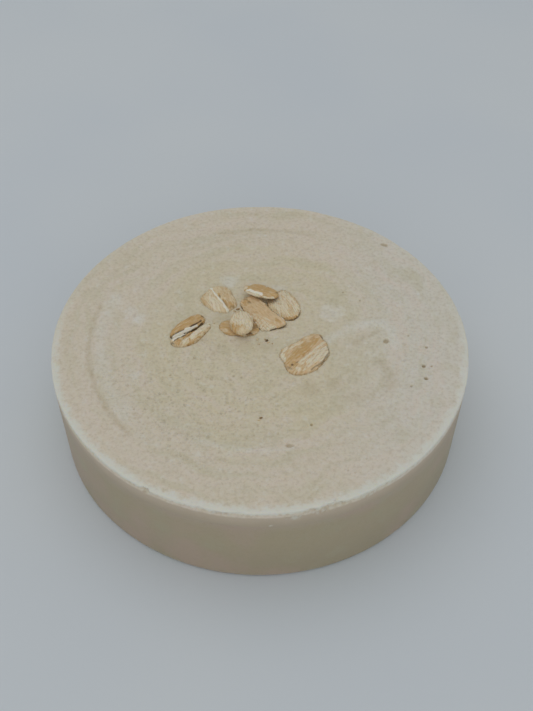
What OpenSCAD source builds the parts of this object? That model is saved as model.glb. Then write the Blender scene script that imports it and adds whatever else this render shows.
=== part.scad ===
// Shaving soap puck with rolled oat flakes pressed into its poured face.
// Millimetres, +Z up, with the origin at the centre of the base.

/* [Soap puck] */
// Outside diameter of the puck
puck_d = 76; // [60:1:100]
// Height of the puck, from its base to its poured face
puck_h = 20; // [14:0.5:32]
// Radius of the moulded edge round the base
base_edge_r = 0.8; // [0.2:0.1:2]
// Radius of the rounded rim round the poured face
rim_r = 0.9; // [0.3:0.1:1.5]
// Thickness of the paler crust under the poured face
crust_t = 4; // [2.5:0.1:6]

/* [Oat flakes] */
// Thickness of a rolled flake
flake_t = 0.8; // [0.5:0.05:1.2]
// How far a flake's rounded edge runs in from its outline
flake_edge = 0.25; // [0.1:0.05:0.4]
// Depth to which a flat flake is bedded in the crust
bed_depth = 0.35; // [0.1:0.05:0.45]
// Gap between a flake's outline and the wall of its bed
bed_gap = 0.06; // [0.02:0.01:0.2]
// Gap between a flake and the one that it lies on
stack_gap = 0.08; // [0.04:0.01:0.3]
// Smallest gap between flakes that lie side by side
side_gap = 0.2; // [0.1:0.05:1]

/* [Flake sizes] */
// Length of the flake that has split along its crease
split_l = 8.4; // [6:0.1:12]
// Width of each half of the split flake
split_half_w = 2.3; // [1.5:0.1:4]
// Angle that the split has opened to
split_angle = 5; // [3:1:10]
// Length of the flake with a seam
seam_l = 7.2; // [5:0.1:11]
// Width of the flake with a seam
seam_w = 5.8; // [4:0.1:8]
// Length of the flake in the middle of the group
centre_l = 10.4; // [8:0.1:13]
// Width of the flake in the middle of the group
centre_w = 4.6; // [3.5:0.1:6]
// Length of the ribbed flake under the middle one's edge
fan_l = 8.4; // [6:0.1:11]
// Width of the ribbed flake under the middle one's edge
fan_w = 5.8; // [4:0.1:8]
// Length of the flake perched on the middle one
perched_l = 6.8; // [5:0.1:9]
// Width of the flake perched on the middle one
perched_w = 4.2; // [3:0.1:6]
// Length of the brown flake under the small round one
under_l = 7.6; // [5:0.1:10]
// Width of the brown flake under the small round one
under_w = 4.6; // [3:0.1:7]
// Length of the small round flake
round_l = 5.2; // [3.5:0.1:7]
// Width of the small round flake
round_w = 4.2; // [3:0.1:6]
// Length of the single flake in front
front_l = 10.8; // [8:0.1:14]
// Width of the single flake in front
front_w = 7.5; // [5:0.1:10]

/* [Crumbs and bubbles] */
// Length of a crumb of bran
crumb_l = 0.9; // [0.4:0.1:1.6]
// Depth of the largest bubble pit in the crust
bubble_depth = 0.55; // [0.2:0.05:1]

/* [Hidden] */
$fn = 96;

outline_steps = 36; // points round a flake's outline
outline_wave = 0.03; // waviness of the outline, as a share of its radius

soap_colour = "#d6cfb4";
crust_colour = "#e3dccb";
bran_colour = "#c39a62";
tan_colour = "#d2b382";
starch_colour = "#e4d8b8";

// Heights above the poured face: of a bedded flake's underside, of a flake on top of it, and of one on both
bedded = -bed_depth;
on_one = bedded + flake_t + stack_gap;
on_two = on_one + flake_t + stack_gap;

// Half of the width that an oval of size l by w, turned by spin, takes up along a direction
function reach(l, w, spin, direction) =
    norm([l / 2 * cos(direction - spin), w / 2 * sin(direction - spin)]) * (1 + outline_wave);
function along(direction, distance) = distance * [cos(direction), sin(direction)];

// The middle flake; its near edge is bedded and its far edge lies over the ribbed flake by fan_overlap
centre_at = [-0.2, 4.9];
centre_spin = -49;
fan_overlap = 1.2;
centre_lean = asin((on_one - bedded) / (centre_w - fan_overlap));
centre_lift = bedded + centre_w / 2 * sin(centre_lean);
far_side = centre_spin + 90;
near_side = centre_spin - 90;

// The ribbed flake lies under the middle one's far edge
fan_spin = -67;
fan_slide = 0.9;
fan_away = centre_w / 2 + reach(fan_l, fan_w, fan_spin, far_side) - fan_overlap;
fan_at = centre_at + along(far_side, fan_away) + along(centre_spin, fan_slide);

// The flake with a seam lies off the middle one's upper end
seam_spin = -67;
seam_way = 152;
seam_at = centre_at + along(seam_way, reach(centre_l, centre_w, centre_spin, seam_way)
    + reach(seam_l, seam_w, seam_spin, seam_way) + side_gap);

// The brown flake lies beside the middle one, with the small round one on top
under_spin = -7;
under_at = centre_at + along(near_side, centre_w / 2
    + reach(under_l, under_w, under_spin, near_side) + side_gap);
round_spin = -80;
round_lean = 7;
round_at = centre_at + along(near_side, centre_w / 2 + flake_t
    + reach(round_l, round_w, round_spin, near_side) + side_gap);
round_lift = on_one + round_w / 2 * sin(round_lean);

// The perched flake leans back, from the middle one's upper end down to the crust
perched_spin = -20;
perched_lean = -17;
perched_slide = 4.3;
perched_at = centre_at + [0.4, perched_slide];
perched_raise = 0.25;
perched_lift = on_two + perched_w / 2 * sin(perched_lean) + perched_raise;

// The split flake lies apart on the left; its halves meet at their lower end
split_spin = 46;
split_way = 188;
split_clear = 1;
split_crease = 0.3;
split_reach = reach(split_l, 2 * split_half_w + split_l * sin(split_angle / 2), split_spin, split_way);
split_at = under_at + along(split_way, reach(under_l, under_w, under_spin, split_way)
    + split_reach + split_clear);

// The single flake lies in front, off the middle one's lower end
front_spin = 47;
front_way = -51;
front_clear = 3.6;
front_at = centre_at + along(front_way, reach(centre_l, centre_w, centre_spin, front_way)
    + reach(front_l, front_w, front_spin, front_way) + front_clear);

// Each flake is [length, width, taper, place, spin, lean, height of its underside over the poured face],
// and a half flake ends with the share of its width that bulges towards the crease
seam = [seam_l, seam_w, -0.1, seam_at, seam_spin, 0, bedded];
fan = [fan_l, fan_w, 0.12, fan_at, fan_spin, 0, bedded];
centre = [centre_l, centre_w, 0.08, centre_at, centre_spin, centre_lean, centre_lift];
perched = [perched_l, perched_w, 0, perched_at, perched_spin, perched_lean, perched_lift];
under = [under_l, under_w, 0.1, under_at, under_spin, 0, bedded];
small_round = [round_l, round_w, 0, round_at, round_spin, round_lean, round_lift];
front = [front_l, front_w, -0.08, front_at, front_spin, 0, bedded];

// A half of the split flake; side is 1 for the back half and -1 for the front half
function split_half(side) =
    let (spin = split_spin + side * split_angle / 2,
         away = split_crease * split_half_w / 2 + (split_l * sin(split_angle / 2) + stack_gap) / 2)
        [split_l, split_half_w, 0, split_at + along(split_spin + 90, side * away),
         side > 0 ? spin : spin + 180, 0, bedded, split_crease];

bedded_flakes = [seam, fan, centre, under, front, split_half(1), split_half(-1)];

// Bubble pits: place, and depth as a share of the largest
bubbles = [[23, -1, 1], [29.2, -7.1, 0.8], [29.3, -10, 0.8], [30.2, -2.5, 0.5],
           [24.8, 25.7, 0.9], [5.1, -24.8, 0.7], [8.8, -20.4, 0.4]];
bubble_r = 0.75;

// Crumbs of bran: place, spin and size as a share of crumb_l
crumbs = [[1.2, -1.2, 30, 1], [2.2, -1.9, -50, 0.7], [-0.2, -2.2, 10, 0.6], [0.3, -19.1, 15, 0.8]];

// An oval's outline, slightly wavy, wider at one end by taper, and flatter on its right side by crease
function outline(l, w, taper, crease = 1) = [
    for (i = [0 : outline_steps - 1])
        let (a = i * 360 / outline_steps,
             wave = 1 + outline_wave * sin(3 * a + 40),
             side = a > 180 ? crease : 2 - crease)
            [l / 2 * wave * cos(a), w / 2 * side * wave * sin(a) * (1 + taper * cos(a))]
];

// A disc with a rounded edge, top and bottom
module rounded_disc(d, h, top_r, bottom_r) {
    rotate_extrude()
        union() {
            square([d / 2 - max(top_r, bottom_r), h]);
            translate([0, bottom_r])
                square([d / 2, h - top_r - bottom_r]);
            if (top_r > 0)
                translate([d / 2 - top_r, h - top_r])
                    intersection() {
                        circle(top_r);
                        square(top_r);
                    }
            if (bottom_r > 0)
                translate([d / 2 - bottom_r, bottom_r])
                    intersection() {
                        circle(bottom_r);
                        translate([0, -bottom_r])
                            square(bottom_r);
                    }
        }
}

function crease_of(flake) = len(flake) > 7 ? flake[7] : 1;

// A rolled flake of that size: flat underneath, with a rounded edge and a slight crown
module rolled_flake(l, w, taper, crease) {
    inset = [flake_edge, 0, 0, flake_edge];
    level = [0, 0.3, 0.6, 0.9] * flake_t;
    rings = len(inset);
    n = outline_steps;
    ring_points = [
        for (r = [0 : rings - 1])
            for (p = outline(l - 2 * inset[r], w - 2 * inset[r], taper, crease))
                [p.x, p.y, level[r]]
    ];
    walls = [
        for (r = [0 : rings - 2])
            for (i = [0 : n - 1])
                let (j = (i + 1) % n, a = r * n, b = (r + 1) * n)
                    each [[a + i, b + i, b + j], [a + i, b + j, a + j]]
    ];
    crown = [for (i = [0 : n - 1]) [(rings - 1) * n + i, rings * n, (rings - 1) * n + (i + 1) % n]];
    base = [[for (i = [0 : n - 1]) i]];
    polyhedron(points = concat(ring_points, [[0, 0, flake_t]]), faces = concat(base, walls, crown));
}

// Puts what follows where a flake lies
module placed(flake) {
    translate([flake[3].x, flake[3].y, puck_h + flake[6]])
        rotate([0, 0, flake[4]])
            rotate([flake[5], 0, 0])
                children();
}

module oat_flake(flake) {
    placed(flake)
        rolled_flake(flake[0], flake[1], flake[2], crease_of(flake));
}

// The hollow that a flake has left in the crust
module flake_bed(flake) {
    placed(flake)
        linear_extrude(height = crust_t)
            polygon(outline(flake[0] + 2 * bed_gap, flake[1] + 2 * bed_gap, flake[2], crease_of(flake)));
}

module soap_body() {
    color(soap_colour)
        rounded_disc(puck_d, puck_h - crust_t, 0, base_edge_r);
}

module top_crust() {
    color(crust_colour)
        difference() {
            translate([0, 0, puck_h - crust_t])
                rounded_disc(puck_d, crust_t, rim_r, 0);
            for (flake = bedded_flakes)
                flake_bed(flake);
            for (b = bubbles)
                translate([b.x, b.y, puck_h + bubble_r - bubble_depth * b[2]])
                    sphere(bubble_r, $fn = 32);
        }
}

module split_flake_back_half() {
    color(bran_colour)
        oat_flake(split_half(1));
}

module split_flake_front_half() {
    color(starch_colour)
        oat_flake(split_half(-1));
}

module seam_flake() {
    color(starch_colour)
        oat_flake(seam);
}

module fan_flake() {
    color(starch_colour)
        oat_flake(fan);
}

module centre_flake() {
    color(tan_colour)
        oat_flake(centre);
}

module perched_flake() {
    color(bran_colour)
        oat_flake(perched);
}

module under_flake() {
    color(bran_colour)
        oat_flake(under);
}

module round_flake() {
    color(starch_colour)
        oat_flake(small_round);
}

module front_flake() {
    color(tan_colour)
        oat_flake(front);
}

module oat_crumbs() {
    color(bran_colour)
        for (c = crumbs)
            translate([c.x, c.y, puck_h])
                rotate([0, 0, c[2]])
                    linear_extrude(height = crumb_l * c[3] / 3)
                        polygon(outline(crumb_l * c[3], crumb_l * c[3] / 2, 0.2));
}

soap_body();
top_crust();
split_flake_back_half();
split_flake_front_half();
seam_flake();
fan_flake();
centre_flake();
perched_flake();
under_flake();
round_flake();
front_flake();
oat_crumbs();
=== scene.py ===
import math
import random

import bmesh
import bpy
from mathutils import Matrix, Vector, kdtree, noise


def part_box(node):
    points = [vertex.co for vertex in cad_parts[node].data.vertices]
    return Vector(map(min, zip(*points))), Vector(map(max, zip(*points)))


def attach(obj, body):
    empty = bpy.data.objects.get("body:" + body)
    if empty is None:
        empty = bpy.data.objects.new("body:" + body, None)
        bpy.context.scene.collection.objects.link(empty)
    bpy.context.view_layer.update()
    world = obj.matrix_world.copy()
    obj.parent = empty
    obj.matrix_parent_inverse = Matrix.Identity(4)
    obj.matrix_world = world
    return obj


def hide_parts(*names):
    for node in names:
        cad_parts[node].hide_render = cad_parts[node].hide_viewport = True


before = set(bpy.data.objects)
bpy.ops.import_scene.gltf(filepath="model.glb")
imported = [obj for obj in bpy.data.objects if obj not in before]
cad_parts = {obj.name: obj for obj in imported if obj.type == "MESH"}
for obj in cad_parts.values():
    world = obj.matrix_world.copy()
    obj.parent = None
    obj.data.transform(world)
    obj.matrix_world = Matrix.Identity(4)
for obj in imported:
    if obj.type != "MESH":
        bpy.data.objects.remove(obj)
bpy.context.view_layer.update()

# sizes of the puck, in millimetres, as its solids have them
millimetre = 0.001
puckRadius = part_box("top_crust")[1].x / millimetre
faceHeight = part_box("top_crust")[1].z / millimetre
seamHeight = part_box("soap_body")[1].z / millimetre

print("frame loaded: puck", round(2 * puckRadius, 1), "mm across,", round(faceHeight, 1), "mm high")


def screen(red, green, blue):  # a screen colour, 0 to 255, as linear light
    linear = [((c / 255 + 0.055) / 1.055) ** 2.4 if c > 10 else c / 3295 for c in (red, green, blue)]
    return (*linear, 1)


class Wire:  # the output of a node; sums written with it add Math nodes
    def __init__(self, tree, socket=None):
        self.tree = tree
        self.socket = socket

    def node(self, kind, settings=None, inputs=None, output=0):
        made = self.tree.nodes.new(kind)
        for name, value in (settings or {}).items():
            setattr(made, name, value)
        for name, value in (inputs or {}).items():
            if isinstance(value, Wire):
                self.tree.links.new(value.socket, made.inputs[name])
            else:
                made.inputs[name].default_value = value
        return Wire(self.tree, made.outputs[output])

    def math(self, operation, *values):
        return self.node("ShaderNodeMath", {"operation": operation}, dict(enumerate(values)))

    def __add__(self, other):
        return self.math("ADD", self, other)

    def __radd__(self, other):
        return self.math("ADD", other, self)

    def __sub__(self, other):
        return self.math("SUBTRACT", self, other)

    def __rsub__(self, other):
        return self.math("SUBTRACT", other, self)

    def __mul__(self, other):
        return self.math("MULTIPLY", self, other)

    def __rmul__(self, other):
        return self.math("MULTIPLY", other, self)

    def vector(self, operation, inputs, output=0):
        return self.node("ShaderNodeVectorMath", {"operation": operation}, {0: self, **inputs}, output)

    def ease(self, low, high):  # 0 below low, 1 above high, smooth between
        return self.node("ShaderNodeMapRange", {"interpolation_type": "SMOOTHSTEP"},
                         {"Value": self, "From Min": low, "From Max": high})

    def grain(self, scale, detail=3.0, rough=0.55):  # noise over this place
        return self.node("ShaderNodeTexNoise", {}, {"Vector": self, "Scale": scale, "Detail": detail,
    "Roughness": rough})

    def cells(self, scale, output):  # distance to, or colour of, the nearest of scattered points
        return self.node("ShaderNodeTexVoronoi", {}, {"Vector": self, "Scale": scale}, output)

    def blend(self, first, second):  # from first to second as this goes from 0 to 1
        return self.node("ShaderNodeMix", {"data_type": "RGBA"}, {0: self, 6: first, 7: second}, 2)

    def split(self, axis):
        return self.node("ShaderNodeSeparateXYZ", {}, {0: self}, "XYZ".index(axis))

    def channel(self, colour):
        return self.node("ShaderNodeSeparateColor", {}, {0: self}, "RGB".index(colour))

    def near(self, centre, inner, outer):  # 1 within inner of a point, 0 beyond outer
        return 1 - self.vector("DISTANCE", {1: centre}, 1).ease(inner, outer)


def newFinish(name, surface):  # a material whose Principled sockets have these plain values
    material = bpy.data.materials.new(name)
    material.use_nodes = True
    shader = material.node_tree.nodes["Principled BSDF"]
    for socket, value in surface.items():
        shader.inputs[socket].default_value = value
    start = Wire(material.node_tree)
    return material, start, shader


def plug(wire, shader, socket):
    wire.tree.links.new(wire.socket, shader.inputs[socket])


def bumpFrom(height, depth, shader):  # depth in metres
    bump = height.node("ShaderNodeBump", {}, {"Height": height, "Distance": depth, "Strength": 1.0})
    plug(bump, shader, "Normal")


def placeInMillimetres(start):
    place = start.node("ShaderNodeTexCoord", output=3)
    return place.vector("SCALE", {"Scale": 1 / millimetre})


def attribute(start, name):
    return start.node("ShaderNodeAttribute", {"attribute_name": name})


def easeBetween(low, high, value):
    share = min(max((value - low) / (high - low), 0), 1)
    return share * share * (3 - 2 * share)


def rough(x, y, z=0.0, size=1.0):  # noise from -1 to 1 whose lumps are about size across
    return noise.noise(Vector((x, y, z)) / size)


def discGrid(bm, cells):  # a square grid pressed into a unit disc, so that it has no pole
    bmesh.ops.create_grid(bm, x_segments=cells, y_segments=cells, size=1)
    for vert in bm.verts:
        x, y = vert.co.xy
        vert.co.xy = (x * math.sqrt(1 - y * y / 2), y * math.sqrt(1 - x * x / 2))


def distanceToLine(x, y, points):  # from a point to a line through given points
    best = 1e9
    for (startX, startY), (endX, endY) in zip(points, points[1:]):
        runX, runY = endX - startX, endY - startY
        share = ((x - startX) * runX + (y - startY) * runY) / (runX * runX + runY * runY)
        share = min(max(share, 0), 1)
        best = min(best, math.hypot(startX + share * runX - x, startY + share * runY - y))
    return best


def finishPiece(name, bm, material, slot, *nodes):  # millimetres to metres, then a piece of the puck
    bmesh.ops.scale(bm, vec=(millimetre,) * 3, verts=bm.verts)
    mesh = bpy.data.meshes.new(name)
    bm.to_mesh(mesh)
    bm.free()
    mesh.polygons.foreach_set("use_smooth", [True] * len(mesh.polygons))
    mesh.materials.append(material)
    piece = bpy.data.objects.new(name, mesh)
    bpy.context.scene.collection.objects.link(piece)
    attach(piece, "root")
    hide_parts(*nodes)
    return piece


def roundOutline(points):  # radius for each degree of a smooth closed line through the points
    knots = sorted((math.degrees(math.atan2(v, u)) % 360, math.hypot(u, v)) for u, v in points)
    knots = [(a - 360, r) for a, r in knots[-2:]] + knots + [(a + 360, r) for a, r in knots[:3]]
    slopes = [(after[1] - before[1]) / (after[0] - before[0]) for before, after in zip(knots, knots[2:])]
    radii = []
    place = 1
    for degree in range(360):
        while knots[place + 1][0] <= degree:
            place += 1
        (low, lowRadius), (high, highRadius) = knots[place], knots[place + 1]
        span = high - low
        t = (degree - low) / span
        radii.append((2 * t ** 3 - 3 * t ** 2 + 1) * lowRadius
                     + (t ** 3 - 2 * t ** 2 + t) * span * slopes[place - 1]
                     + (3 * t ** 2 - 2 * t ** 3) * highRadius
                     + (t ** 3 - t ** 2) * span * slopes[place])
    return radii


def radiusAt(radii, angle):
    degree = math.degrees(angle) % 360
    whole = int(degree)
    return radii[whole % 360] + (degree - whole) * (radii[(whole + 1) % 360] - radii[whole % 360])


def flakePlace(flake):  # the matrix from a flake's own millimetres to the puck's
    boxes = [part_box(node) for node in flake["lies"]]
    low = Vector([min(box[0][k] for box in boxes) for k in range(3)]) / millimetre
    high = Vector([max(box[1][k] for box in boxes) for k in range(3)]) / millimetre
    lean = math.radians(flake.get("lean", 0))
    lift = flake.get("lift", 0) + flake.get("halfWidth", 2) * abs(math.sin(lean))
    middle = (low + high) / 2 + Vector((*flake.get("shift", (0, 0)), 0))
    return (Matrix.Translation((middle.x, middle.y, low.z + lift))
            @ Matrix.Rotation(math.radians(flake["spin"]), 4, "Z") @ Matrix.Rotation(lean, 4, "X"))


# Each flake has the parts whose place it takes, how it is turned, its outline in its own millimetres
# (length along u, width along v), thickness, fibre ridges as (spacing across, depth), folds as (points,
# half width, height), and patches of bran, starch and painted shade (dark slits, gaps, contact lines, holes
# and shadows cast on it) as (u, v, reach along u, reach along v, strength), or along a line as (points,
# reach, strength). Starch past about 1.2 turns to chalk.

frontFlake = {
    "lies": ["front_flake"], "spin": 47, "shift": (0.15, 0.5), "thick": 0.95, "crown": 0.25,
    "outline": [(5.8, 1.1), (5.35, 0.1), (5.2, -0.9), (4.4, -2.1), (3.4, -3.2), (0.8, -3.9), (-2.4, -3.7),
                (-3.9, -2.9), (-4.9, -1.3), (-4.5, 0.2), (-3.7, 1.5), (-2.9, 3.1), (0, 3.2), (1.4, 2.9),
                (4.1, 2.4)],
    "fibres": (0.42, 0.07), "ragged": 0.24,
    "folds": [([(-3.4, -0.7), (0, -0.5), (4.6, -0.4)], 0.2, -0.2),
              ([(-2.4, -1.2), (1.5, -1.2), (4.7, -1.0)], 0.22, 0.16),
              ([(-1.5, -2.0), (1.2, -2.1), (3.9, -1.9)], 0.16, 0.14),
              ([(-1.8, -1.65), (3.9, -1.5)], 0.14, -0.13), ([(-1.5, -2.75), (2.4, -2.85)], 0.2, -0.12),
              ([(5.6, 0.9), (5.0, -0.9)], 0.22, -0.22),
              ([(-2.6, 2.3), (0.2, 2.5), (3.4, 2.0)], 0.2, 0.12),
              ([(-2.2, 1.6), (0.6, 1.7), (4.2, 1.2)], 0.16, -0.1)],
    "bran": [(0.2, 0.45, 4.6, 1.05, 1.0), (-3.4, -0.5, 1.2, 0.9, 0.8), (-2.6, -2.5, 1.2, 0.5, 0.6),
             ([(-0.6, -1.65), (1.6, -1.7), (3.6, -1.55)], 0.16, 0.6),
             ([(4.2, 1.9), (5.3, 1.2)], 0.4, 0.6)],
    "starch": [(1.6, -2.5, 4.0, 1.1, 0.8), ([(-2.4, -1.15), (0.6, -1.2), (4.6, -1.0)], 0.22, 1.0),
               ([(-1.5, -2.05), (1.2, -2.1), (4.3, -1.9)], 0.15, 1.3), (-3.5, -2.0, 0.5, 0.6, 0.7),
               (-2.0, -1.6, 0.9, 0.3, 0.7), ([(-3.6, 1.4), (-2.9, 2.5)], 0.35, 1.3),
               (-1.6, 2.8, 1.0, 0.4, 1.0), (1.5, 2.3, 3.0, 0.6, 0.5)],
    "paintedShade": [(-4.4, -0.4, 0.3, 0.7, 0.45), (5.4, 0.2, 0.25, 0.8, 0.9), (-3.6, -0.5, 0.25, 0.18, 0.9),
              (-2.6, -0.75, 0.25, 0.14, 0.8),
              ([(-1.9, -3.6), (0.8, -3.85), (3.4, -3.15), (4.5, -2.0)], 0.14, 0.6)],
}

splitBackHalf = {
    "lies": ["split_flake_back_half", "split_flake_front_half"], "spin": 46, "shift": (0, 0.4),
    "thick": 1.0, "crown": 0.3, "centre": (0.9, 1.6),
    "outline": [(-3.3, 1.5), (-2.7, 2.4), (-1.5, 2.95), (0.1, 3.2), (1.8, 3.1), (3.5, 2.8), (4.5, 2.1),
                (4.5, 1.1), (3.9, 0.25), (2.3, 0.02), (0.9, -0.05), (-0.4, 0.34), (-1.6, 0.8)],
    "fibres": (0.5, 0.06), "ragged": 0.12,
    "folds": [([(-3.2, 1.78), (-1.7, 1.44), (-0.5, 1.16)], 0.15, -0.4),
              ([(0.9, 0.76), (2.2, 0.6), (3.4, 0.56)], 0.16, -0.25),
              ([(-2.4, 1.05), (-0.6, 0.6), (0.9, 0.2), (2.4, 0.2)], 0.3, -0.2),
              ([(-2.2, 2.4), (0.4, 2.5), (3.4, 2.1)], 0.2, 0.12)],
    "bran": [([(-2.7, 2.2), (0.2, 2.1), (3.4, 1.8)], 0.95, 1.0), (-2.9, 1.9, 0.5, 0.4, 1.0),
             (3.4, 1.3, 0.9, 0.9, 0.9)],
    "starch": [([(-2.9, 1.4), (-1.1, 0.95), (0.5, 0.55)], 0.34, 2.4),
               ([(0.5, 0.55), (2.0, 0.36)], 0.22, 2.0),
               ([(-2.2, 2.75), (0.2, 3.1), (2.0, 3.0)], 0.14, 0.9)],
    "paintedShade": [([(-3.2, 1.75), (-1.8, 1.42), (-0.6, 1.14)], 0.12, 1.4),
              ([(0.7, 0.8), (2.0, 0.64), (3.3, 0.6)], 0.11, 1.0),
              ([(-0.9, 0.52), (0.4, 0.14), (1.6, 0.02), (3.2, 0.1)], 0.12, 1.4),
              (-3.15, 1.7, 0.25, 0.3, 1.0), (4.35, 1.2, 0.3, 0.5, 0.7)],
}

splitFrontHalf = {
    "lies": ["split_flake_back_half", "split_flake_front_half"], "spin": 46, "shift": (0, 0.4),
    "thick": 0.85, "crown": 0.25, "centre": (-0.4, -0.9),
    "outline": [(-3.6, 1.05), (-4.3, 0.3), (-4.0, -0.7), (-3.0, -1.7), (-1.5, -2.3), (0.4, -2.3),
                (2.0, -2.0), (3.7, -1.5), (4.0, -0.75), (2.3, -0.36), (0.8, -0.32), (-0.6, 0.0),
                (-1.8, 0.5)],
    "fibres": (0.4, 0.08), "ragged": 0.26,
    "folds": [([(-3.4, 0.85), (-1.9, 0.35), (-0.6, -0.1)], 0.22, 0.1),
              ([(-2.8, -1.2), (-1.3, -1.4)], 0.3, 0.2),
              ([(-0.6, -1.3), (0.9, -1.1), (3.1, -1.1)], 0.4, 0.26),
              ([(-2.6, -0.55), (0.2, -0.6), (2.0, -0.65)], 0.18, -0.22)],
    "bran": [(-3.2, -0.3, 0.9, 0.8, 0.9), (-0.4, -0.45, 3.0, 0.36, 0.9), (-1.2, -2.1, 2.4, 0.3, 0.8),
             (1.8, -1.8, 0.5, 0.25, 0.6), (-1.6, -1.7, 0.3, 0.6, 0.7)],
    "starch": [([(-3.35, 0.72), (-2.3, 0.44), (-1.5, 0.16)], 0.32, 2.4),
               ([(-2.7, -1.2), (-1.9, -1.4)], 0.34, 1.3),
               ([(-0.9, -1.45), (0.1, -1.2), (1.0, -1.1), (2.2, -1.05), (3.4, -1.05)], 0.44, 1.35)],
    "paintedShade": [([(-3.6, 0.3), (-2.2, -0.02), (-1.2, -0.25)], 0.1, 1.2), (-4.1, 0.2, 0.2, 0.6, 0.6),
              ([(-0.4, -0.05), (0.8, -0.26), (2.0, -0.3)], 0.12, 1.0),
              ([(-2.2, -0.62), (0.2, -0.62), (1.8, -0.66)], 0.1, 0.4)],
    "lumps": 0.3,
}

seamFlake = {
    "lies": ["seam_flake"], "spin": -67, "shift": (0.1, 0.3), "thick": 0.75, "crown": 0.15,
    "outline": [(-1.8, -3.0), (-2.7, -1.8), (-3.4, -0.6), (-3.7, 0.5), (-3.3, 1.9), (-2.4, 2.7),
                (-0.1, 2.9), (1.9, 2.9), (2.9, 2.5), (3.3, 1.5), (3.8, 0.3), (3.5, -0.6), (2.7, -1.7),
                (0.9, -2.7), (-0.9, -3.2)],
    "fibres": (0.5, 0.05), "ragged": 0.1,
    "folds": [([(-3.3, -0.4), (-1.6, -0.35), (-0.4, -0.2), (1.2, 0.2), (3.7, 0.35)], 0.2, 0.17),
              ([(-2.9, -0.1), (-1.0, 0.1), (1.0, 0.6), (2.9, 0.9)], 0.22, -0.16),
              ([(-1.0, -1.5), (2.4, -1.0)], 0.3, 0.1)],
    "bran": [(-0.9, 1.7, 2.6, 1.1, 0.5), (2.5, 1.3, 0.9, 1.0, 0.85),
             ([(-2.9, -1.6), (-1.6, -2.9), (0.4, -2.8)], 0.3, 0.6), (-1.0, 0.35, 0.5, 0.25, 0.9),
             (1.2, 0.75, 1.2, 0.3, 0.8)],
    "starch": [(0.8, -1.3, 2.2, 1.0, 0.75),
               ([(-3.4, -0.35), (-1.6, -0.3), (-0.4, -0.12), (1.2, 0.25), (3.6, 0.4)], 0.25, 2.2),
               (-2.2, -1.0, 0.9, 0.5, 0.55)],
    "paintedShade": [(-0.5, 0.4, 0.4, 0.15, 0.7), (2.9, 1.5, 0.3, 0.6, 0.4),
              ([(0.6, 0.55), (2.9, 0.85)], 0.14, 0.4)],
}

fanFlake = {
    "lies": ["fan_flake"], "spin": -67, "shift": (0.65, 0.35), "thick": 0.85, "crown": 0.25,
    "outline": [(-4.2, 0.2), (-4.5, 1.0), (-4.1, 2.1), (-2.4, 2.8), (-0.9, 3.0), (0.7, 3.0), (2.1, 2.6),
                (3.2, 1.7), (3.7, 0.3), (3.1, -1.1), (2.0, -2.2), (0, -2.7), (-2.4, -2.3), (-3.8, -0.9)],
    "fan": {"from": (-5.2, 0.9), "ribs": 88, "depth": 0.13}, "fibres": (0.3, 0.03), "ragged": 0.22,
    "folds": [([(-3.9, 1.2), (-0.6, 1.9), (2.2, 1.9)], 0.24, -0.14)],
    "bran": [([(3.4, 1.3), (3.6, 0.2), (3.0, -1.1)], 0.45, 0.9), (1.9, -0.9, 0.6, 0.8, 0.4),
             (-4.0, 1.5, 0.4, 0.9, 0.6), ([(-3.6, 1.0), (-0.3, 0.9), (1.6, 0.9)], 0.2, 0.4)],
    "starch": [([(-3.6, 1.4), (-0.4, 2.0), (2.0, 2.1)], 0.7, 0.95), (-0.6, -0.5, 3.0, 1.5, 0.8)],
    "paintedShade": [([(2.4, 2.4), (3.3, 1.6), (3.75, 0.3), (3.2, -1.1)], 0.14, 0.8),
              (-2.4, -1.5, 1.2, 0.8, 0.4)],
}

centreFlake = {
    "lies": ["centre_flake"], "spin": -49, "shift": (0.1, 0.5), "lean": 11, "halfWidth": 2.2,
    "thick": 0.62, "crown": 0.12,
    "outline": [(-4.7, -0.8), (-5.1, 0.5), (-4.5, 1.7), (-3.0, 2.1), (-0.7, 2.15), (1.2, 2.05),
                (2.9, 2.1), (4.7, 2.15), (5.3, 1.6), (4.7, -0.1), (4.1, -1.45), (3.3, -2.3), (2.2, -2.35),
                (0.5, -2.0), (-1.5, -1.7), (-3.3, -1.5)],
    "fibres": (0.5, 0.035), "ragged": 0.2,
    "scallops": {"start": 0.2, "ribs": 1.5, "depth": 0.1},
    "folds": [([(-0.9, -1.2), (1.6, -0.3), (4.3, 0.4)], 0.3, 0.1),
              ([(-4.4, 0.4), (-3.6, 0.9), (-2.9, 0.4)], 0.22, -0.16),
              ([(-4.2, -0.7), (-2.4, -0.6), (-0.6, -0.9)], 0.2, -0.08)],
    "bran": [(-4.0, -0.2, 0.9, 0.8, 0.95), (-0.8, 0.6, 3.6, 1.3, 0.4), (3.9, 1.1, 0.9, 0.35, 0.8),
             (4.9, 0.3, 0.4, 0.8, 0.5)],
    "starch": [(2.9, -1.2, 2.2, 1.1, 0.6), (0.6, -1.3, 1.4, 0.6, 0.5),
               ([(1.9, 2.1), (3.4, 2.15), (4.4, 2.15)], 0.18, 1.3),
               ([(1.2, -2.1), (2.4, -2.2), (3.2, -2.1), (3.9, -1.4), (4.5, -0.2)], 0.34, 1.0),
               ([(-0.6, -1.1), (1.6, -0.3), (4.0, 0.35)], 0.14, 0.5)],
    "paintedShade": [(-4.7, 0.3, 0.4, 0.6, 0.35), ([(0.9, 1.95), (2.2, 2.0), (3.6, 2.05)], 0.1, 0.5),
              (-3.4, 0.2, 0.4, 0.25, 0.45)],
}

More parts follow.
